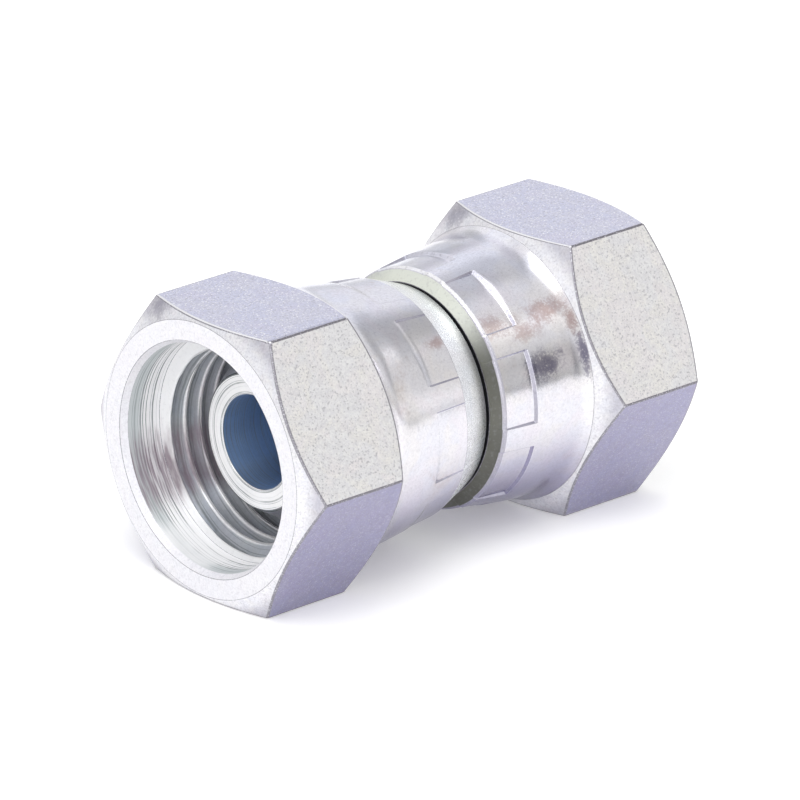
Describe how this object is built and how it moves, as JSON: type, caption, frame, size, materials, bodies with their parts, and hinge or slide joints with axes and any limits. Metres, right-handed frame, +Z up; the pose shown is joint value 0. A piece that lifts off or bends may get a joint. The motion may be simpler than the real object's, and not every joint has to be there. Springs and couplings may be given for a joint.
{
  "type": "female threaded connector",
  "caption": "Straight pipe connector with a female swivel nut at each end, crimped onto one bored tube with 60 degree cone noses.",
  "frame": {"origin": "middle of the tube's axis, half way between the two nuts", "axes": "+X along the axis towards the right nut, +Z up out of a flat of each nut's hexagon"},
  "size_m": [0.0492, 0.0312, 0.027],
  "materials": {
    "turned_zinc_tube": "turned steel with clear passivated zinc plating",
    "zinc_nut": "zinc plating, faintly iridescent passivation, frosted flats"
  },
  "bodies": {
    "tube": {"centre_tube": "turned_zinc_tube"},
    "left_nut": {"left_swivel_nut": "zinc_nut"},
    "right_nut": {"right_swivel_nut": "zinc_nut"}
  },
  "joints": [
    {"name": "left_nut_spin", "type": "hinge", "parent": "tube", "child": "left_nut", "pos_m": [-0.018, 0, 0], "axis": [1, 0, 0], "continuous": true},
    {"name": "right_nut_spin", "type": "hinge", "parent": "tube", "child": "right_nut", "pos_m": [0.018, 0, 0], "axis": [1, 0, 0], "continuous": true}
  ]
}
